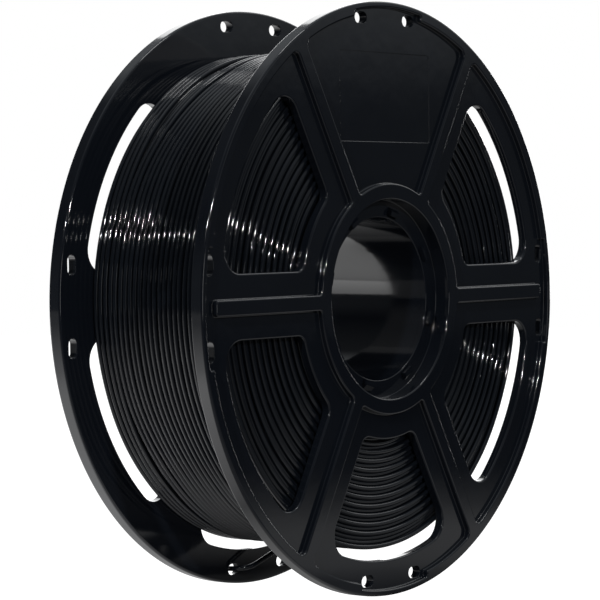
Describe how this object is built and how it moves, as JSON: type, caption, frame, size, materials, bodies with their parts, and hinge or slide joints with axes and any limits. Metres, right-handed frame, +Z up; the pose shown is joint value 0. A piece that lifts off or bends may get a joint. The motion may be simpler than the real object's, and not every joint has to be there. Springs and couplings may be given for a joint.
{
  "type": "filament spool",
  "caption": "Spool of 3-D printer filament: two spoked flanges with windows on a hollow barrel, wound full, its free end held in a hole in the rim.",
  "frame": {"origin": "centre of the spool, on its axis, midway between the flanges", "axes": "+Y along the spool's axis towards the rear flange, +Z up as the spool stands on its rims, the closed sectors of both flanges at the top"},
  "size_m": [0.2, 0.0644, 0.2],
  "materials": {
    "spool_moulding": "gloss black injection moulding",
    "filament": "gloss black extruded filament"
  },
  "bodies": {
    "root": {"front_flange": "spool_moulding", "rear_flange": "spool_moulding", "hub_barrel": "spool_moulding", "filament_winding": "filament", "filament_tail": "filament"}
  },
  "joints": []
}
